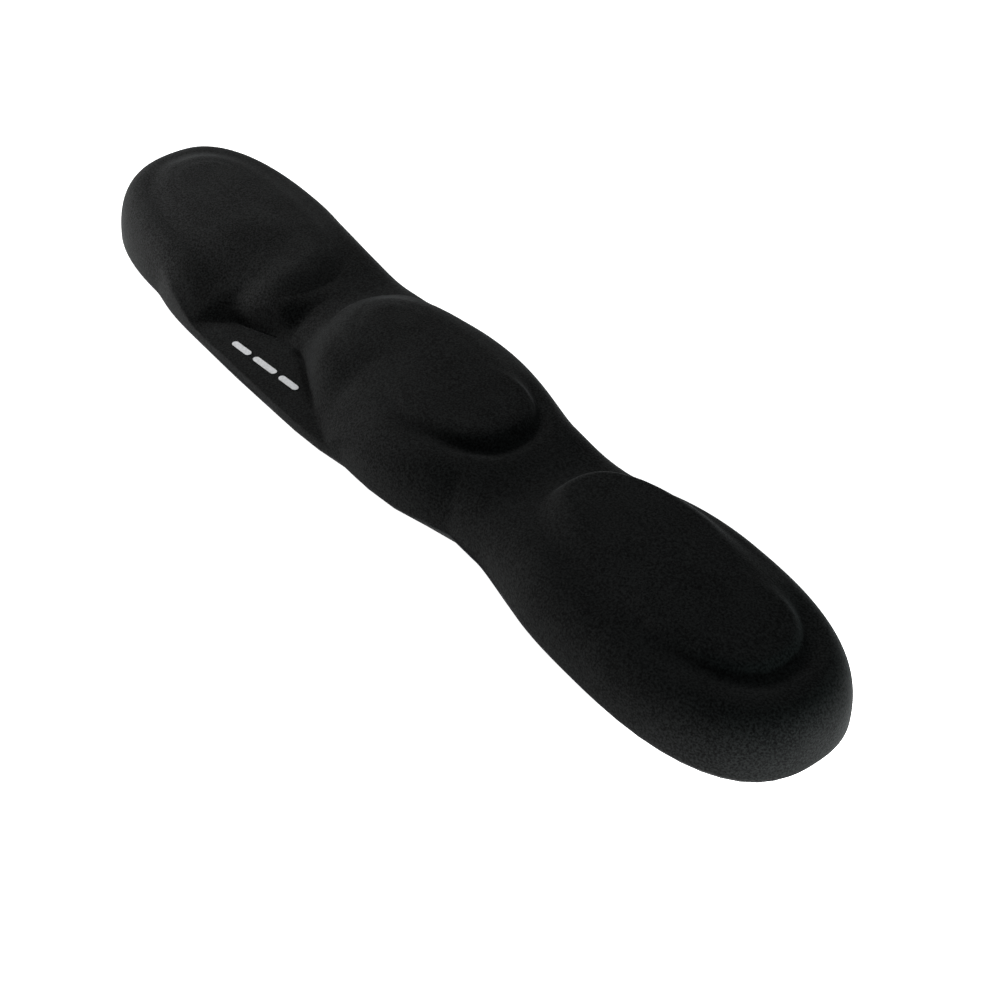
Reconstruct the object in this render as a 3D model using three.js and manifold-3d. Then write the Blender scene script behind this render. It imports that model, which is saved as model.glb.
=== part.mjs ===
// Soft wrist rest for a keyboard: a foam bar with a scalloped outline and three raised oval pads, under a
// stretch-knit cover, on a rubber base sheet. Millimetres. X runs along the rest, -Y is the user's side and
// +Z is up. The origin is at the middle of the underside.
import * as THREE from "three";
import Module from "manifold-3d";
import { mergeVertices } from "three/addons/utils/BufferGeometryUtils.js";

const wasm = await Module();
wasm.setup();

// ---- Driving dimensions ----

const LENGTH = 460; // end to end
const HEIGHT = 33; // desk to the crown of a pad
const LOBE_PITCH = 149.5; // centre lobe to end lobe
const END_LOBE_OVERLAP = 3; // how far a lobe's own curve runs past the middle of the neck
const CENTRE_LOBE_OVERLAP = -7;
const LOBE_STAGGER = 3.8; // the left lobe lies this much nearer the user, the right one this much further
const BACK_REACH = 44; // lobe depth behind the bar's middle line, keyboard side
const FRONT_REACH = 49.5; // lobe depth in front of it, user's side
const NECK_BACK = 36.5; // the same two reaches at a neck
const NECK_FRONT = 38;
const NECK_BLEND = 11; // softness of the inner corners of the outline

const LEDGE_DROP = 4.5; // from the crown of a pad down to the body round it
const SADDLE_SAG = 3; // how much lower the body is at a neck
const SADDLE_WIDTH = 36; // length of that dip along X
const SKIRT_RUN = 15.5; // how far the side wall leans in from the desk to the ledge
const SKIRT_POWER = 2.5; // 2 is a quarter of an ellipse, more is squarer

const PAD_END_MARGIN = 15.5; // outline to pad: at the ends, the front and the back
const PAD_FRONT_MARGIN = 10.5;
const PAD_BACK_MARGIN = 10.5;
const END_PAD_FROM_NECK = 6; // middle of a neck to the pads on its two sides
const CENTRE_PAD_FROM_NECK = 12.5;
const PAD_RIM_RADIUS = 5;
const PAD_CROWN = 1.5; // rise of a pad from its rim to its middle
const PAD_ROOT = 7; // how far a pad's wall runs down inside the body

const SHELF_Z = 9; // top of the low triangular shelf at the left neck
const SHELF_OVERHANG = 6; // its nearly straight front edge, in front of the centre lobe
const SHELF_LENGTH = 180; // length of that edge, with the ends that run in under the lobes
const SHELF_SLANT = 1.5; // that edge comes back towards the centre lobe, in degrees from X
const SHELF_DEPTH = 33; // front edge to inner corner
const SHELF_LEFT_ANGLE = 26; // its two walls, in degrees from X
const SHELF_RIGHT_ANGLE = 23;

const DASH_LENGTHS = [12, 15, 12]; // printed dashes, from left to right
const DASH_WIDTH = 3.2;
const DASH_GAP = 3;
const DASH_SLANT = 7; // the row turns in towards the centre lobe, in degrees from X
const DASH_FRONT_MARGIN = 11.5; // middle of the row, behind the shelf's front edge
const DASH_SHIFT = 6; // middle of the row, to the right of the neck's middle
const INK = 0.2;

const COVER = 0.8; // knit fabric
const BOND_FILM = 0.2;
const BASE_SHEET = 2;
const BASE_MARGIN = 2.5; // base sheet inside the outline
const ADHESIVE = 0.2;
const ADHESIVE_MARGIN = 4;
const HEM_WIDTH = 8; // cover turned under the core
const GAP = 0.3; // clearance between layers

// ---- Sizes that follow ----

const LOBE_END = LENGTH / 2 - LOBE_PITCH;
const NECK_X = LOBE_PITCH / 2;
const END_LOBE_INNER = NECK_X + END_LOBE_OVERLAP; // half lengths of the lobes towards each other
const CENTRE_LOBE_INNER = NECK_X + CENTRE_LOBE_OVERLAP;
const LEDGE_Z = HEIGHT - LEDGE_DROP;
const NECK_Z = LEDGE_Z - SADDLE_SAG;
const SHELF_FRONT = FRONT_REACH + SHELF_OVERHANG;
const MIDDLE_Y = (SHELF_FRONT - BACK_REACH - LOBE_STAGGER) / 2; // the bar's middle line
const ADHESIVE_Z = BASE_SHEET + GAP;
const HEM_Z = ADHESIVE_Z + ADHESIVE + GAP;
const FILM_IN = COVER + GAP; // insets from the outside of the cover
const CORE_IN = FILM_IN + BOND_FILM + GAP;
const CORE_Z = HEM_Z + COVER + GAP;

// ---- Curves and facets ----

const END_POWER = 2.45; // superellipse powers: outer ends, inner ends, pads, shelf edge
const INNER_FRONT_POWER = 2.75;
const INNER_BACK_POWER = 2;
const PAD_POWER = 2.4;
const SHELF_POWER = 5;
const SHELF_BLEND = 2;
const SKIRT_ANGLES = [0, 20, 42, 66, 90]; // rings up the side wall, in degrees round its curve
const RIM_ANGLES = [0, 45, 90]; // rings round a pad's rim
const SIDE_STEPS = 44; // facets along each side of the outline
const PAD_STEPS = 32;
const SADDLE_STEPS = 64;

// ---- Outline ----

// Half depth of a superelliptic lobe at distance u from its middle.
function lobe(u, halfLength, halfDepth, power) {
  const inside = 1 - Math.abs(u / halfLength) ** power;
  return inside > 0 ? halfDepth * inside ** (1 / power) : 0;
}

// The larger of two values, rounded where they are within blend of each other.
function softMax(a, b, blend) {
  const h = Math.min(1, Math.max(0, 0.5 + (0.5 * (a - b)) / blend));
  return b + (a - b) * h + blend * h * (1 - h);
}

// Depth of the body at x, to one side of its middle line, for an outline drawn in by inset.
function reach(x, inset, side) {
  const endDepth = side.lobe + Math.sign(x) * side.stagger - inset;
  const fromEndLobe = Math.abs(x) - LOBE_PITCH;
  if (fromEndLobe > 0) return lobe(fromEndLobe, LOBE_END - inset, endDepth, END_POWER);
  const ends = lobe(fromEndLobe, END_LOBE_INNER - inset, endDepth, side.power);
  const centre = lobe(x, CENTRE_LOBE_INNER - inset, side.lobe - inset, side.power);
  const neckBlend = NECK_BLEND * Math.min(1, -fromEndLobe / NECK_X); // dies out towards an end lobe's middle
  return softMax(softMax(ends, centre, NECK_BLEND), side.neck - inset, neckBlend);
}

const BACK = { lobe: BACK_REACH, neck: NECK_BACK, stagger: LOBE_STAGGER, power: INNER_BACK_POWER };
const FRONT = { lobe: FRONT_REACH, neck: NECK_FRONT, stagger: -LOBE_STAGGER, power: INNER_FRONT_POWER };

// Depth of the front, with the edge of the shelf across the left neck.
function frontReach(x, inset) {
  const fromNeck = x + NECK_X;
  const straight = lobe(fromNeck, SHELF_LENGTH / 2 - inset, SHELF_FRONT - inset, SHELF_POWER);
  const slanted = straight - fromNeck * Math.tan(THREE.MathUtils.degToRad(SHELF_SLANT));
  return softMax(reach(x, inset, FRONT), straight > 0 ? slanted : 0, SHELF_BLEND);
}

// The outline drawn in by inset, anticlockwise from the left end.
function outline(inset) {
  const half = LENGTH / 2 - inset;
  const front = [];
  const back = [];
  for (let i = 0; i < SIDE_STEPS; i++) {
    const x = -half * Math.cos((i * Math.PI) / SIDE_STEPS);
    front.push([x, MIDDLE_Y - frontReach(x, inset)]);
    back.push([-x, MIDDLE_Y + reach(-x, inset, BACK)]);
  }
  return [...front, ...back];
}

// ---- Solids ----

// A closed loft through rings of equal length, from the bottom up. A ring is { points, z }, with a centre
// where it isn't round the middle of the bar, and a crownZ on the last ring where the top rises to a point.
function loft(rings) {
  const count = rings[0].points.length;
  const vertices = rings.flatMap((ring) => ring.points.flatMap(([x, y]) => [x, y, ring.z]));
  const triangles = [];
  for (let r = 0; r + 1 < rings.length; r++) {
    for (let i = 0; i < count; i++) {
      const a = r * count + i;
      const b = r * count + ((i + 1) % count);
      triangles.push(a, b, b + count, a, b + count, a + count);
    }
  }
  const top = rings.length * count;
  const last = rings.at(-1);
  vertices.push(...(last.centre ?? [0, MIDDLE_Y]), last.crownZ ?? last.z);
  vertices.push(...(rings[0].centre ?? [0, MIDDLE_Y]), rings[0].z);
  for (let i = 0; i < count; i++) {
    const next = (i + 1) % count;
    triangles.push(top - count + i, top - count + next, top);
    triangles.push(next, i, top + 1);
  }
  return solid(vertices, triangles);
}

function solid(vertices, triangles) {
  const vertProperties = new Float32Array(vertices);
  const triVerts = new Uint32Array(triangles);
  return new wasm.Manifold(new wasm.Mesh({ numProp: 3, vertProperties, triVerts }));
}

// A three.js geometry as a solid.
function solidOf(geometry) {
  const plain = new THREE.BufferGeometry();
  plain.setAttribute("position", geometry.getAttribute("position"));
  if (geometry.index) plain.setIndex(geometry.index);
  const merged = mergeVertices(plain);
  return solid(merged.attributes.position.array, merged.index.array);
}

// An upright prism on a list of points.
function prism(points, low, high) {
  const shape = new THREE.Shape(points.map(([x, y]) => new THREE.Vector2(x, y)));
  const geometry = new THREE.ExtrudeGeometry(shape, { depth: high - low, bevelEnabled: false });
  geometry.translate(0, 0, low);
  return solidOf(geometry);
}

// The outline as a flat plate.
function plate(inset, low, high) {
  return prism(outline(inset), low, high);
}

// The body without its pads, its skin moved in by inset.
function body(inset) {
  const top = LEDGE_Z - inset;
  const rings = SKIRT_ANGLES.map((degrees) => {
    const angle = THREE.MathUtils.degToRad(degrees);
    const lean = SKIRT_RUN * (1 - Math.cos(angle) ** (2 / SKIRT_POWER));
    return { points: outline(inset + lean), z: top * Math.sin(angle) ** (2 / SKIRT_POWER) };
  });
  return loft(rings);
}

// One raised pad between two places on the bar, on a lobe that is shifted back, its skin moved in by inset.
function pad(startX, endX, shift, inset) {
  const frontY = MIDDLE_Y - FRONT_REACH + PAD_FRONT_MARGIN;
  const backY = MIDDLE_Y + BACK_REACH - PAD_BACK_MARGIN;
  const centre = [(startX + endX) / 2, (frontY + backY) / 2 + shift];
  const halfLength = (endX - startX) / 2 - inset;
  const halfDepth = (backY - frontY) / 2 - inset;
  const rimZ = HEIGHT - PAD_CROWN - inset;
  const curve = (value) => Math.sign(value) * Math.abs(value) ** (2 / PAD_POWER);
  const ring = (drawIn, z) => {
    const points = [];
    for (let i = 0; i < PAD_STEPS; i++) {
      const angle = (i * 2 * Math.PI) / PAD_STEPS;
      const x = (halfLength - drawIn) * curve(Math.cos(angle));
      const y = (halfDepth - drawIn) * curve(Math.sin(angle));
      points.push([centre[0] + x, centre[1] + y]);
    }
    return { points, z, centre, crownZ: rimZ + PAD_CROWN };
  };
  const rim = RIM_ANGLES.map((degrees) => {
    const angle = THREE.MathUtils.degToRad(degrees);
    return ring(PAD_RIM_RADIUS * (1 - Math.cos(angle)), rimZ - PAD_RIM_RADIUS * (1 - Math.sin(angle)));
  });
  const crowned = ring(halfDepth / 2, rimZ + 0.75 * PAD_CROWN); // a parabola's height halfway in
  return loft([ring(0, NECK_Z - PAD_ROOT), ...rim, crowned]);
}

// The round saddle that lowers a neck, a cutter across the bar.
function saddle(centreX, inset) {
  const radius = ((SADDLE_WIDTH / 2) ** 2 + SADDLE_SAG ** 2) / (2 * SADDLE_SAG);
  const acrossTheBar = 4 * Math.max(BACK_REACH, SHELF_FRONT);
  const cylinder = new THREE.CylinderGeometry(radius + inset, radius + inset, acrossTheBar, SADDLE_STEPS);
  cylinder.translate(centreX, 0, NECK_Z + radius);
  return solidOf(cylinder);
}

// The wedge of space over the shelf, a cutter. Its walls move back into the foam by inset.
function shelfSpace(inset) {
  const depth = 2 * SHELF_FRONT;
  const [left, right] = [SHELF_LEFT_ANGLE, SHELF_RIGHT_ANGLE].map(THREE.MathUtils.degToRad);
  const backIn = inset / Math.cos(Math.max(left, right));
  const apexY = MIDDLE_Y - SHELF_FRONT + SHELF_DEPTH + backIn;
  const corners = [
    [-NECK_X, apexY],
    [-NECK_X - depth / Math.tan(left), apexY - depth],
    [-NECK_X + depth / Math.tan(right), apexY - depth],
  ];
  return prism(corners, SHELF_Z - inset, 2 * HEIGHT);
}

// Everything inside a skin that lies inset below the outside of the cover, above a level.
function filled(inset, low) {
  const necked = body(inset).subtract(saddle(-NECK_X, inset)).subtract(saddle(NECK_X, inset));
  const [endPadInner, endPadOuter] = [NECK_X + END_PAD_FROM_NECK, LENGTH / 2 - PAD_END_MARGIN];
  const centrePadEnd = NECK_X - CENTRE_PAD_FROM_NECK;
  const pads = [
    pad(-endPadOuter, -endPadInner, -LOBE_STAGGER, inset),
    pad(-centrePadEnd, centrePadEnd, 0, inset),
    pad(endPadInner, endPadOuter, LOBE_STAGGER, inset),
  ];
  const padded = pads.reduce((total, one) => total.add(one), necked);
  return padded.subtract(shelfSpace(inset)).trimByPlane([0, 0, 1], low);
}

// ---- Pieces ----

function fabricCover() {
  const opening = plate(HEM_WIDTH, 0, CORE_Z);
  return filled(0, HEM_Z).subtract(filled(COVER, HEM_Z + COVER)).subtract(opening);
}

function coverBondFilm() {
  return filled(FILM_IN, CORE_Z).subtract(filled(FILM_IN + BOND_FILM, 0));
}

function foamCore() {
  const insideHem = plate(HEM_WIDTH + GAP, HEM_Z, CORE_Z + 1);
  return filled(CORE_IN, CORE_Z).add(insideHem);
}

// A rounded bar of ink on the shelf, its middle at a distance along the row from the row's own middle.
function dash(along, length) {
  const r = DASH_WIDTH / 2;
  const bar = new THREE.Shape();
  bar.absarc(length / 2 - r, 0, r, -Math.PI / 2, Math.PI / 2);
  bar.absarc(-length / 2 + r, 0, r, Math.PI / 2, (3 * Math.PI) / 2);
  const geometry = new THREE.ExtrudeGeometry(bar, { depth: INK, bevelEnabled: false, curveSegments: 8 });
  geometry.translate(along, 0, SHELF_Z);
  geometry.rotateZ(THREE.MathUtils.degToRad(DASH_SLANT));
  geometry.translate(DASH_SHIFT - NECK_X, MIDDLE_Y - SHELF_FRONT + DASH_FRONT_MARGIN, 0);
  return solidOf(geometry);
}

// ---- Materials and assembly ----

const knit = { color: 0x151517, roughness: 0.95, metalness: 0 };
const foam = { color: 0xd9c27e, roughness: 0.9, metalness: 0 };
const glue = { color: 0xc9c6b8, roughness: 0.4, metalness: 0 };
const rubber = { color: 0x1d1d1f, roughness: 0.8, metalness: 0 };
const ink = { color: 0xe9e9ea, roughness: 0.6, metalness: 0 };

const group = new THREE.Group();

function addPiece(name, made, material) {
  const { numProp, vertProperties, triVerts } = made.getMesh();
  const geometry = new THREE.BufferGeometry();
  const positions = new Float32Array((vertProperties.length / numProp) * 3);
  for (let i = 0; i < positions.length; i++) {
    positions[i] = vertProperties[Math.floor(i / 3) * numProp + (i % 3)];
  }
  geometry.setAttribute("position", new THREE.BufferAttribute(positions, 3));
  geometry.setIndex(new THREE.BufferAttribute(new Uint32Array(triVerts), 1));
  geometry.computeVertexNormals();
  const mesh = new THREE.Mesh(geometry, new THREE.MeshStandardMaterial(material));
  mesh.name = name;
  group.add(mesh);
}

addPiece("base_sheet", plate(BASE_MARGIN, 0, BASE_SHEET), rubber);
addPiece("base_adhesive_film", plate(ADHESIVE_MARGIN, ADHESIVE_Z, ADHESIVE_Z + ADHESIVE), glue);
addPiece("foam_core", foamCore(), foam);
addPiece("cover_bond_film", coverBondFilm(), glue);
addPiece("fabric_cover", fabricCover(), knit);

const dashRow = DASH_LENGTHS.reduce((sum, length) => sum + length, 0) + DASH_GAP * (DASH_LENGTHS.length - 1);
let dashStart = -dashRow / 2;
DASH_LENGTHS.forEach((length, i) => {
  addPiece(`printed_dash_${i + 1}`, dash(dashStart + length / 2, length), ink);
  dashStart += length + DASH_GAP;
});

export default group;
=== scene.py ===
import math

import bpy
import numpy as np
from mathutils import Matrix, Vector


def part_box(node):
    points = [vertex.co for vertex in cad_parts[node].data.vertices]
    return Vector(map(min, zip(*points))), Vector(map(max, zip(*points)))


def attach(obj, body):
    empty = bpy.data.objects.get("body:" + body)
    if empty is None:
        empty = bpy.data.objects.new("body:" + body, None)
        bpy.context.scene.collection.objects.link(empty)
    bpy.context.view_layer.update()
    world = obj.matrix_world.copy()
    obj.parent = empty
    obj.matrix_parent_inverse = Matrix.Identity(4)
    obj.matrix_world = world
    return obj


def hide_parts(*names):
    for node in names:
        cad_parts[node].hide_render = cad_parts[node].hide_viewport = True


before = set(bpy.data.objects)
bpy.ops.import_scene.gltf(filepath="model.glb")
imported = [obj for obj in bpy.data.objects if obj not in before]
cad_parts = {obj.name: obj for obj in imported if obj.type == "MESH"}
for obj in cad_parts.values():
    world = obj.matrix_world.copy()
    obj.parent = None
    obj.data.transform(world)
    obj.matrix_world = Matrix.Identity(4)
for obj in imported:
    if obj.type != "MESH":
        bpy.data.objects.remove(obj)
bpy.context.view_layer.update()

# A soft keyboard wrist rest: stretch knit bonded over a moulded foam bar with three raised pads, on a
# rubber base sheet. The form is worked out in millimetres in the frame's axes, and MM turns it into
# metres. The camera, floor and lights are in metres.

MM = 0.001

# ---- Sizes from the frame ----

base_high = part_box("base_sheet")[1]
cover_low, cover_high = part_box("fabric_cover")
core_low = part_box("foam_core")[0]
film_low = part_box("cover_bond_film")[0]
ink_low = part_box("printed_dash_1")[0]

BASE_MARGIN = 2.5
HALF_LENGTH = base_high.x / MM + BASE_MARGIN
HEM_Z = cover_low.z / MM
HEIGHT = cover_high.z / MM
SHELF_Z = ink_low.z / MM

# ---- Sizes of the form ----

# The outline: three lobes and two necks, as depths behind and in front of the bar's middle line
LOBE_PITCH = 149.5
NECK_X = LOBE_PITCH / 2
LOBE_STAGGER = 3.8  # the left lobe lies this much nearer the user, the right one this much further
BACK_REACH, FRONT_REACH = 44, 49.5
NECK_BACK, NECK_FRONT = 36.5, 38
NECK_BLEND = 11
END_POWER, PAD_POWER, SHELF_POWER = 2.45, 2.4, 5  # 2 is an ellipse, more is squarer
INNER_FRONT_POWER, INNER_BACK_POWER = 2.75, 2
END_LOBE_OVERLAP, CENTRE_LOBE_OVERLAP = 3, -7  # how far a lobe's curve runs past the neck's middle
END_LOBE_INNER, CENTRE_LOBE_INNER = NECK_X + END_LOBE_OVERLAP, NECK_X + CENTRE_LOBE_OVERLAP
SHELF_OVERHANG = 6
SHELF_FRONT = FRONT_REACH + SHELF_OVERHANG
SHELF_LENGTH = 180
SHELF_SLANT = math.tan(math.radians(1.5))
SHELF_BLEND = 2
MIDDLE_Y = (SHELF_FRONT - BACK_REACH - LOBE_STAGGER) / 2

# The body's top, and its side wall, which leans in by SKIRT_RUN from the desk to the top
LEDGE_DROP = 4.5
LEDGE_Z = HEIGHT - LEDGE_DROP
NECK_DIP = 4
NECK_Z = LEDGE_Z - NECK_DIP
NECK_DIP_WIDTH = 21
SKIRT_RUN = 15.5
SKIRT_POWER = 2.5

# The pads' left, right, front and back edges, and how crisp their left and right ends are. A pair of
# sizes below holds the value at a soft edge and the one at a crisp edge.
PADS = (
    (-214, -86, -33, 32, 0, 0.15),
    (-66, 52, -26, 38, 0, 1),
    (81, 207, -24, 41, 0.8, 0.8),
)
PAD_CROWN = 1.5  # rise from a pad's rim to its middle
PAD_WALL_RUN = (18, 5)  # how far its wall leans in
PAD_FOOT_Z = 22  # where that wall starts, inside the body
PAD_WALL_POWER = 2.2
PAD_DIVE = 4  # how fast its surface drops outside its edge
PAD_CREASE = (8, 1.6)  # softness of the crease between a pad and the body
PAD_CREASE_WITHIN, PAD_CREASE_FADE = (7, 20), 0.9  # that softness fades over these distances inside
LEAST_BLEND = 0.01
RIGHT_END, RIGHT_END_SPREAD = (0.97, -0.24), (0.2, 0.65)  # way to a crisp end, from none to full
LEFT_END, LEFT_END_SPREAD = (-0.8, 0.6), (0.1, 0.8)
GROOVE_DEPTH, GROOVE_WIDTH, GROOVE_INSIDE = 2.4, 4.5, 0.5  # along the crisp right ends

# The shelf's two walls, which rise behind it from a corner. A pair of sizes holds the value far to the
# left of the corner and the one elsewhere.
SHELF_DEPTH = 33
SHELF_APEX_Y = MIDDLE_Y - SHELF_FRONT + SHELF_DEPTH
SHELF_LEFT_ANGLE, SHELF_RIGHT_ANGLE = math.radians(26), math.radians(23)
SHELF_LEFT_RUN, SHELF_WALL_RUN, SHELF_RIGHT_RUN = 26, 34, 23  # a wall's foot to its top
SHELF_LEFT_POWER, SHELF_WALL_POWER, SHELF_RIGHT_POWER = 2.1, 1.3, 2.1  # 1 is a ramp, more is steeper
SHELF_APEX_BLEND = 12
SHELF_RELEASE = 14  # the cap lifts off the left lobe by this
SHELF_BACK_SLOPE = 0.4  # and goes on rising behind its walls
SHELF_FOOT_BLEND = (14, 0.8)
SHELF_TOP_BLEND = (15, 5)
SHELF_LEAST_BLEND = 1.5
CREASE_DEPTH, CREASE_WIDTH = 2.6, 1.6
# Where the walls change, in distances along the bar from the corner: from none to full
LEFT_WALL_STARTS, LEFT_WALL_ENDS = (2, 14), (16, 36)
RIGHT_WALL_STARTS, RIGHT_WALL_ENDS = (6, 32), (30, 55)
RIGHT_CREASE_STARTS, RIGHT_CREASE_ENDS = (2, 9), (34, 46)
LEFT_RUN_STARTS, SOFT_FOOT_STARTS, SOFT_TOP_STARTS, RELEASE_STARTS = (8, 36), (26, 42), (22, 46), (30, 90)

# The layers, drawn in from the outside of the cover, and the cover's edge, turned in under the core
COVER = 0.8
FILM_IN, FILM = 1.1, 0.2
CORE_IN = 1.6
HEM_WIDTH = 8
HEM_CHAMFER = 1.2
HEM_ANGLES = (67, 45, 22)  # they space the rings on the chamfer

# How fine the meshes are, and the shares of the way in that the core's and the film's undersides reach
AROUND, SKIRT_STEPS, TOP_STEPS, HEM_STEPS = 900, 30, 48, 5
DENSE_STEPS = 4000
BODY_RING = HEM_STEPS + len(HEM_ANGLES)
CORE_SPINE, FILM_HEM = 0.8, 0.15
TINY = 1e-6  # keeps a power or a division away from zero

# ---- Form: numpy functions of x and y ----


def lobe(u, half_length, half_depth, power):
    """Half depth of a superelliptic lobe at distance u from its middle."""
    inside = np.clip(1 - np.abs(u / half_length) ** power, 0, None)
    return half_depth * inside ** (1 / power)


def soft_max(a, b, blend):
    """The larger of two values, rounded where they are within blend of each other."""
    h = np.clip(0.5 + 0.5 * (a - b) / blend, 0, 1)
    return b + (a - b) * h + blend * h * (1 - h)


def soft_min(a, b, blend):
    """The smaller of two values, rounded in the same way."""
    return -soft_max(-a, -b, blend)


def reach(x, inset, lobe_reach, neck_reach, stagger, power):
    """Depth of the body at x, to one side of its middle line, for an outline drawn in by inset."""
    end_depth = lobe_reach + np.sign(x) * stagger - inset
    from_end = np.abs(x) - LOBE_PITCH
    outer = lobe(from_end, HALF_LENGTH - LOBE_PITCH - inset, end_depth, END_POWER)
    inner = lobe(from_end, END_LOBE_INNER - inset, end_depth, power)
    centre = lobe(x, CENTRE_LOBE_INNER - inset, lobe_reach - inset, power)
    neck_blend = NECK_BLEND * np.clip(-from_end / NECK_X, TINY, 1)
    necked = soft_max(soft_max(inner, centre, NECK_BLEND), neck_reach - inset, neck_blend)
    return np.where(from_end > 0, outer, necked)


def back_reach(x, inset):
    return reach(x, inset, BACK_REACH, NECK_BACK, LOBE_STAGGER, INNER_BACK_POWER)


def front_reach(x, inset):
    plain = reach(x, inset, FRONT_REACH, NECK_FRONT, -LOBE_STAGGER, INNER_FRONT_POWER)
    straight = lobe(x + NECK_X, SHELF_LENGTH / 2 - inset, SHELF_FRONT - inset, SHELF_POWER)
    return soft_max(plain, np.where(straight > 0, straight - (x + NECK_X) * SHELF_SLANT, 0), SHELF_BLEND)


def skirt_rise(share):
    """Share of the full height where a wall has leaned in by that share of its run."""
    return (1 - np.clip(1 - share, 0, 1) ** SKIRT_POWER) ** (1 / SKIRT_POWER)


def ledge_z(x):
    """Height of the body's top along the bar, lower at the necks."""
    dips = [np.exp(-(((x - neck) / NECK_DIP_WIDTH) ** 2)) for neck in (-NECK_X, NECK_X)]
    return LEDGE_Z - (LEDGE_Z - NECK_Z) * sum(dips)


def smooth_step(low, high, value):
    t = np.clip((value - low) / (high - low), 0, 1)
    return t * t * (3 - 2 * t)


def between(pair, share):
    """From the soft value of a pair to its crisp one."""
    return pair[0] + (pair[1] - pair[0]) * share


def pad_z(x, y, half_length, half_depth, crisp):
    """Height of a pad's surface round its own middle, and how far inside its edge each point is.

    Outside its edge the surface dives under the body."""
    ux, uy = np.abs(x / half_length) + TINY, np.abs(y / half_depth) + TINY
    r = (ux**PAD_POWER + uy**PAD_POWER) ** (1 / PAD_POWER)
    along_x, along_y = ux ** (PAD_POWER - 1) / half_length, uy ** (PAD_POWER - 1) / half_depth
    inward = (1 - r) / (r ** (1 - PAD_POWER) * np.hypot(along_x, along_y))
    rim_z = HEIGHT - PAD_CROWN
    wall = np.clip(1 - inward / between(PAD_WALL_RUN, crisp), 0, 1) ** PAD_WALL_POWER
    outside = np.clip(-inward, 0, None)
    dive = PAD_DIVE * outside + outside**2
    return rim_z - (rim_z - PAD_FOOT_Z) * wall + PAD_CROWN * np.clip(1 - r * r, 0, 1) - dive, inward


def crispness(x, y, half_length, half_depth, left_rim, right_rim):
    """How crisp a pad's edge is round it: right_rim at its right end, left_rim at its left, else soft."""
    towards_x, towards_y = x / half_length, y / half_depth
    distance = np.hypot(towards_x, towards_y) + TINY
    across = RIGHT_END[0] * towards_x + RIGHT_END[1] * towards_y
    right = smooth_step(*RIGHT_END_SPREAD, across / distance)
    across = LEFT_END[0] * towards_x + LEFT_END[1] * towards_y
    left = smooth_step(*LEFT_END_SPREAD, across / distance)
    return np.maximum(right_rim * right, left_rim * left)


def shelf_cap(x, y):
    """Greatest height over the shelf: its flat floor and the wall that rises behind it."""
    u, v = x + NECK_X, y - SHELF_APEX_Y
    left = -u * math.sin(SHELF_LEFT_ANGLE) + v * math.cos(SHELF_LEFT_ANGLE)
    right = u * math.sin(SHELF_RIGHT_ANGLE) + v * math.cos(SHELF_RIGHT_ANGLE)
    on_left = smooth_step(*LEFT_WALL_STARTS, -u) * (1 - smooth_step(*LEFT_WALL_ENDS, -u))
    on_right = smooth_step(*RIGHT_WALL_STARTS, u) * (1 - smooth_step(*RIGHT_WALL_ENDS, u))
    right_crease = smooth_step(*RIGHT_CREASE_STARTS, u) * (1 - smooth_step(*RIGHT_CREASE_ENDS, u))
    creased = np.maximum(on_left, right_crease)
    run = SHELF_WALL_RUN + (SHELF_RIGHT_RUN - SHELF_WALL_RUN) * on_right
    run = run + (SHELF_LEFT_RUN - SHELF_WALL_RUN) * smooth_step(*LEFT_RUN_STARTS, -u)
    power = SHELF_WALL_POWER + (SHELF_LEFT_POWER - SHELF_WALL_POWER) * on_left
    power = power + (SHELF_RIGHT_POWER - SHELF_WALL_POWER) * on_right
    from_foot = soft_max(left, right, SHELF_APEX_BLEND)
    behind = soft_max(from_foot, 0, between(SHELF_FOOT_BLEND, 1 - smooth_step(*SOFT_FOOT_STARTS, -u)))
    wall = (1 - np.clip(1 - behind / run, 0, 1) ** power) ** (1 / power)
    crease = CREASE_DEPTH * creased * np.exp(-((from_foot / CREASE_WIDTH) ** 2))
    beyond = SHELF_BACK_SLOPE * np.clip(behind - run, 0, None)
    beyond = beyond + SHELF_RELEASE * smooth_step(*RELEASE_STARTS, -u)
    return SHELF_Z + (HEIGHT - SHELF_Z) * wall + beyond - crease


def top_z(x, y, body):
    """The outer surface, from the height that the plain body has there."""
    z = body
    for left, right, front, back, left_rim, right_rim in PADS:
        dx, dy = x - (left + right) / 2, y - (front + back) / 2
        half_length, half_depth = (right - left) / 2, (back - front) / 2
        crisp = crispness(dx, dy, half_length, half_depth, left_rim, right_rim)
        pad, inward = pad_z(dx, dy, half_length, half_depth, crisp)
        groove = GROOVE_DEPTH * crisp * smooth_step(0, half_length, dx)
        groove = groove * np.exp(-(((inward - GROOVE_INSIDE) / GROOVE_WIDTH) ** 2))
        blend = between(PAD_CREASE, crisp) * (1 - PAD_CREASE_FADE * smooth_step(*PAD_CREASE_WITHIN, inward))
        blend = blend * smooth_step(HEM_Z, SHELF_Z, z) + LEAST_BLEND
        z = soft_max(z, pad, blend) - groove * smooth_step(SHELF_Z, NECK_Z, z)
    top_blend = between(SHELF_TOP_BLEND, 1 - smooth_step(*SOFT_TOP_STARTS, -(x + NECK_X)))
    top_blend = top_blend * smooth_step(SHELF_Z, NECK_Z, z) + SHELF_LEAST_BLEND
    return soft_min(z, shelf_cap(x, y), top_blend)


# ---- Mesh of the outer surface ----


def side_stations(count):
    """Distances along the bar, from -1 to 1, that space the outline's points evenly."""
    dense = -np.cos(np.linspace(0, math.pi, DENSE_STEPS + 1))
    x = HALF_LENGTH * dense
    lengths = sum(np.hypot(np.diff(x), np.diff(side(x, 0))) for side in (front_reach, back_reach))
    along = np.concatenate([[0], np.cumsum(lengths)])
    return np.interp(np.linspace(0, along[-1], count + 1), along, dense)


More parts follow.
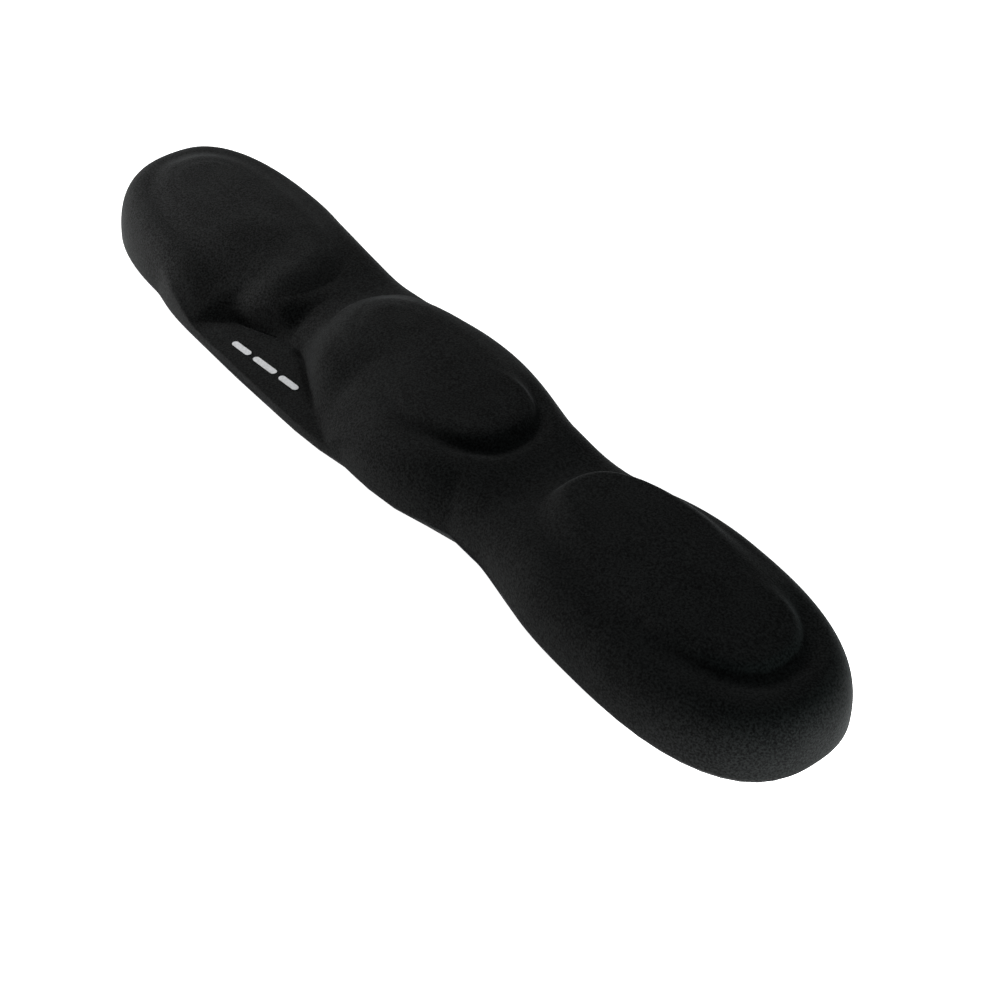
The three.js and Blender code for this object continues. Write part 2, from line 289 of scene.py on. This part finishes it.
def outline(stations, inset):
    """The outline drawn in by inset: the front from left to right, then the back from right to left."""
    x = stations * (HALF_LENGTH - inset)
    front = np.stack([x[:-1], MIDDLE_Y - front_reach(x[:-1], inset)], 1)
    back = np.stack([x[:0:-1], MIDDLE_Y + back_reach(x[:0:-1], inset)], 1)
    return np.concatenate([front, back])


def grid_points(stations, skirt_steps, top_steps, hem_steps):
    """Rings of points from the hem's inner edge, over its chamfer and up to the middle line."""
    rings = []

    def add(points, z):
        rings.append(np.column_stack([points, np.broadcast_to(z, len(points))]))

    for inset in np.linspace(HEM_WIDTH, HEM_CHAMFER, hem_steps):
        add(outline(stations, inset), HEM_Z)
    for angle in np.radians(HEM_ANGLES):
        inset = HEM_CHAMFER * (1 - math.cos(angle))
        add(outline(stations, inset), HEM_Z + HEM_CHAMFER - inset)
    lowest = math.asin(((HEM_Z + HEM_CHAMFER) / LEDGE_Z) ** (SKIRT_POWER / 2))
    for angle in np.linspace(lowest, math.pi / 2, skirt_steps):
        share = 1 - math.cos(angle) ** (2 / SKIRT_POWER)
        points = outline(stations, SKIRT_RUN * share)
        add(points, ledge_z(points[:, 0]) * skirt_rise(share))
    shoulder = outline(stations, SKIRT_RUN)
    spine_half = HALF_LENGTH - SKIRT_RUN - (BACK_REACH - SKIRT_RUN)
    spine_x = shoulder[:, 0] * spine_half / (HALF_LENGTH - SKIRT_RUN)
    spine = np.column_stack([spine_x, np.full(len(shoulder), MIDDLE_Y)])
    for share in np.linspace(0, 1, top_steps + 1)[1:]:
        points = shoulder + (spine - shoulder) * share
        add(points, ledge_z(points[:, 0]))
    points = np.stack(rings)
    upper = points[hem_steps:]
    upper[..., 2] = top_z(upper[..., 0], upper[..., 1], upper[..., 2])
    return points


def grid_faces(ring_count, count, fold_first=False):
    """Quads between rings, with the last ring, and the first if asked, folded shut along the middle line."""
    i = np.arange(count)
    fold = np.where(i <= count // 2, i, count - i)
    faces = []
    for r in range(ring_count - 1):
        low, high = r * count, (r + 1) * count
        lower = fold if fold_first and r == 0 else i
        upper = fold if r == ring_count - 2 else i
        corners = low + lower, low + np.roll(lower, -1), high + np.roll(upper, -1), high + upper
        faces.append(np.stack(corners, 1))
    return np.concatenate(faces)


def outer_surface(count, skirt_steps, top_steps, hem_steps):
    points = grid_points(side_stations(count), skirt_steps, top_steps, hem_steps)
    return points, grid_faces(*points.shape[:2])


def inner_surface(points, normals, first_ring, depth, bottom_z, floor_share):
    """The outer surface drawn in by depth, from first_ring up, with a flat underside part of the way in."""
    rings = (points - depth * normals)[first_ring:]
    rings[..., 2] = np.maximum(rings[..., 2], bottom_z)
    rim = rings[0]
    spine = np.column_stack([rim[:, 0] * CORE_SPINE, np.full(len(rim), MIDDLE_Y), rim[:, 2]])
    floor = rim + (spine - rim) * floor_share
    floor[:, 2] = rim[:, 2] = bottom_z
    rings = np.concatenate([floor[None], rings])
    return rings, grid_faces(*rings.shape[:2], fold_first=floor_share == 1)


def point_normals(points, faces):
    flat = points.reshape(-1, 3)
    corners = flat[faces]
    face_normals = np.cross(corners[:, 2] - corners[:, 0], corners[:, 3] - corners[:, 1])
    normals = np.zeros_like(flat)
    for k in range(4):
        np.add.at(normals, faces[:, k], face_normals)
    lengths = np.linalg.norm(normals, axis=1, keepdims=True)
    return (normals / np.maximum(lengths, 1e-12)).reshape(points.shape)


def add_object(name, data):
    made = bpy.data.objects.new(name, data)
    bpy.context.scene.collection.objects.link(made)
    return made


def new_piece(name, points, faces, node):
    """A mesh piece from points in millimetres, standing for a CAD node."""
    mesh = bpy.data.meshes.new(name)
    points = points.reshape(-1, 3)
    used = np.unique(faces)
    place = np.full(len(points), -1)
    place[used] = np.arange(len(used))
    tidy = [[int(place[v]) for v in dict.fromkeys(face)] for face in faces.tolist()]
    mesh.from_pydata((points[used] * MM).tolist(), [], [face for face in tidy if len(face) > 2])
    mesh.validate()
    mesh.polygons.foreach_set("use_smooth", [True] * len(mesh.polygons))
    piece = add_object(name, mesh)
    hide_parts(node)
    return piece


def thicken(piece, thickness):
    """Give an open surface its thickness, on the inside."""
    shell = piece.modifiers.new("thickness", "SOLIDIFY")
    shell.thickness = thickness * MM
    shell.offset = -1


# ---- Materials ----


class Nodes:
    """A new material and short names for building its node tree."""

    def __init__(self, name):
        self.material = bpy.data.materials.new(name)
        self.material.use_nodes = True
        self.tree = self.material.node_tree
        self.shader = self.tree.nodes["Principled BSDF"]
        self.where = self.add("TexCoord").outputs["Object"]

    def add(self, kind, **settings):
        node = self.tree.nodes.new("ShaderNode" + kind)
        for key, value in settings.items():
            if hasattr(node, key):
                setattr(node, key, value)
            else:
                node.inputs[key.replace("_", " ")].default_value = value
        return node

    def link(self, output, socket):
        self.tree.links.new(output, socket)

    def maths(self, operation, *values):
        node = self.add("Math", operation=operation)
        for socket, value in zip(node.inputs, values):
            if isinstance(value, (int, float)):
                socket.default_value = value
            else:
                self.link(value, socket)
        return node.outputs[0]

    def shade(self, **values):
        for key, value in values.items():
            self.shader.inputs[key.replace("_", " ")].default_value = value

    def texture(self, kind, **settings):
        """A texture's outputs, placed by the piece's own coordinates."""
        node = self.add("Tex" + kind, **settings)
        self.link(self.where, node.inputs["Vector"])
        return node.outputs

    def colour(self, value, stops, colours):
        """Base colour that goes from the first colour to the second as a value goes between the stops."""
        ramp = self.add("ValToRGB")
        for element, stop, colour in zip(ramp.color_ramp.elements, stops, colours):
            element.position, element.color = stop, (*colour, 1)
        self.link(value, ramp.inputs["Fac"])
        self.link(ramp.outputs["Color"], self.shader.inputs["Base Color"])

    def bump(self, height, strength, distance):
        node = self.add("Bump", Strength=strength, Distance=distance)
        self.link(height, node.inputs["Height"])
        self.link(node.outputs["Normal"], self.shader.inputs["Normal"])


def knit_material():
    """Black knit: a fine mottle, faint larger patches, and loops that stand out as a bump."""
    n = Nodes("stretch_knit")
    n.shade(Roughness=0.9, Sheen_Weight=0.05, Sheen_Roughness=0.3, Sheen_Tint=(0.9, 0.97, 1.0, 1.0))
    n.shade(Specular_IOR_Level=0.1)
    mottle = n.texture("Noise", Scale=1200.0, Detail=2.0, Roughness=0.6)["Fac"]
    patches = n.texture("Noise", Scale=60.0, Detail=3.0)["Fac"]
    loops = n.texture("Voronoi", Scale=1100.0)["Distance"]
    blend = n.maths("ADD", n.maths("MULTIPLY", mottle, 0.85), n.maths("MULTIPLY", patches, 0.15))
    n.colour(blend, (0.38, 0.62), ((0.0005, 0.0005, 0.0005), (0.0135, 0.0142, 0.0141)))
    n.bump(n.maths("ADD", n.maths("MULTIPLY", loops, -0.6), mottle), strength=0.5, distance=0.0003)
    return n.material


def plain_material(name, dark, light, roughness, scale, bump_distance):
    """A mottled, slightly rough material: foam, rubber, glue and ink."""
    n = Nodes(name)
    n.shade(Roughness=roughness)
    noise = n.texture("Noise", Scale=scale, Detail=4.0, Roughness=0.6)["Fac"]
    n.colour(noise, (0.35, 0.65), (dark, light))
    n.bump(noise, strength=0.6, distance=bump_distance)
    return n.material


KNIT = knit_material()
FOAM = plain_material("memory_foam", (0.55, 0.42, 0.18), (0.75, 0.6, 0.3), 0.95, 1500.0, 0.0004)
GLUE = plain_material("hot_melt_film", (0.05, 0.048, 0.04), (0.08, 0.077, 0.065), 0.4, 300.0, 0.0001)
RUBBER = plain_material("base_rubber", (0.012, 0.012, 0.013), (0.025, 0.025, 0.026), 0.75, 800.0, 0.0002)
INK = plain_material("printed_ink", (0.58, 0.58, 0.59), (0.72, 0.72, 0.73), 0.6, 900.0, 0.00008)


def dress(piece, material):
    piece.data.materials.clear()
    piece.data.materials.append(material)


# ---- Pieces ----

outer, outer_faces = outer_surface(AROUND, SKIRT_STEPS, TOP_STEPS, HEM_STEPS)
outer_normals = point_normals(outer, outer_faces)
outer_normals[-1] = (0, 0, 1)

cover = new_piece("knit_cover", outer, outer_faces, "fabric_cover")
thicken(cover, COVER)
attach(cover, "root")
dress(cover, KNIT)

film_rings, film_faces = inner_surface(outer, outer_normals, BODY_RING, FILM_IN, film_low.z / MM, FILM_HEM)
film = new_piece("bond_film", film_rings, film_faces, "cover_bond_film")
thicken(film, FILM)
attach(film, "root")
dress(film, GLUE)

core_rings, core_faces = inner_surface(outer, outer_normals, BODY_RING, CORE_IN, core_low.z / MM, 1)
core = new_piece("foam_body", core_rings, core_faces, "foam_core")
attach(core, "root")
dress(core, FOAM)

dress(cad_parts["base_adhesive_film"], GLUE)
dress(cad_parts["base_sheet"], RUBBER)
for i in (1, 2, 3):
    dress(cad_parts[f"printed_dash_{i}"], INK)

# ---- Camera, floor and light ----

CAMERA_AZIMUTH, CAMERA_ELEVATION, CAMERA_ROLL = map(math.radians, (50.80, 42.68, 2.81))
CAMERA_DISTANCE = 0.685
CAMERA_TARGET = np.array([0.0532, -0.0019, 0.0])
LENS = 59.5
FLOOR_HALF, FLOOR_Z = 40.0, -0.0003
TOP_TINT, LOW_TINT = (0.85, 1, 0.99), (0.7, 1, 0.97)
FLOOR_GLOW, FLOOR_GLOW_AT, FLOOR_GLOW_SIZE = 5, (0.31, 0.0), 0.16


def add_camera():
    a, e, r = CAMERA_AZIMUTH, CAMERA_ELEVATION, CAMERA_ROLL
    back = np.array([math.sin(a) * math.cos(e), -math.cos(a) * math.cos(e), math.sin(e)])
    level = np.array([math.cos(a), math.sin(a), 0])
    upright = np.cross(back, level)
    right = level * math.cos(r) + upright * math.sin(r)
    up = upright * math.cos(r) - level * math.sin(r)
    data = bpy.data.cameras.new("camera")
    data.lens = LENS
    data.clip_start = 0.01
    camera = add_object("camera", data)
    at = CAMERA_TARGET + back * CAMERA_DISTANCE
    rows = [[*axes, where] for axes, where in zip(zip(right, up, back), at)]
    camera.matrix_world = Matrix([[float(v) for v in row] for row in rows] + [[0, 0, 0, 1]])
    bpy.context.scene.camera = camera


def add_floor():
    mesh = bpy.data.meshes.new("floor")
    s, z = FLOOR_HALF, FLOOR_Z
    mesh.from_pydata([(-s, -s, z), (s, -s, z), (s, s, z), (-s, s, z)], [], [(0, 1, 2, 3)])
    floor = add_object("floor", mesh)
    n = Nodes("pale_floor")
    n.shade(Base_Color=(0.6, 0.6, 0.6, 1), Roughness=0.9, Emission_Color=(1, 1, 1, 1))
    placed = n.add("Mapping", vector_type="TEXTURE")
    placed.inputs["Location"].default_value = (*FLOOR_GLOW_AT, 0)
    placed.inputs["Scale"].default_value = (FLOOR_GLOW_SIZE,) * 3
    n.link(n.where, placed.inputs["Vector"])
    glow = n.add("TexGradient", gradient_type="SPHERICAL")
    n.link(placed.outputs["Vector"], glow.inputs["Vector"])
    strength = n.maths("MULTIPLY_ADD", glow.outputs["Fac"], FLOOR_GLOW, 1.0)
    n.link(strength, n.shader.inputs["Emission Strength"])
    dress(floor, n.material)


def add_light(name, at, aim, width, height, power, tint=(1, 1, 1)):
    """A soft panel at a place, shining at another."""
    data = bpy.data.lights.new(name, "AREA")
    data.shape = "RECTANGLE"
    data.size, data.size_y, data.energy, data.color = width, height, power, tint
    light = add_object(name, data)
    light.location = at
    light.rotation_euler = (Vector(aim) - Vector(at)).to_track_quat("-Z", "Y").to_euler()


def add_world(strength):
    world = bpy.data.worlds.new("studio")
    world.use_nodes = True
    world.node_tree.nodes["Background"].inputs["Color"].default_value = (1, 1, 1, 1)
    world.node_tree.nodes["Background"].inputs["Strength"].default_value = strength
    bpy.context.scene.world = world


add_camera()
add_floor()
add_world(0.07)
add_light("key", at=(-0.42, 0, 0.36), aim=(-0.1, 0, 0), width=0.25, height=0.25, power=1.65)
add_light("left_fill", at=(-0.4, -0.27, 0.07), aim=(-0.2, -0.03, 0), width=0.12, height=0.08, power=1.5)
add_light("back_rim", at=(-0.5, 0.55, 0.3), aim=(-0.05, 0, 0), width=0.6, height=0.6, power=0.8)
add_light("top", at=(0.34, 0.12, 0.45), aim=(0.2, 0, 0), width=0.3, height=0.3, power=0.5, tint=TOP_TINT)
add_light("low", at=(0.5, 0, 0.02), aim=(0.2, 0, 0.01), width=0.3, height=0.03, power=0.4, tint=LOW_TINT)
bpy.context.scene.view_settings.view_transform = "Standard"
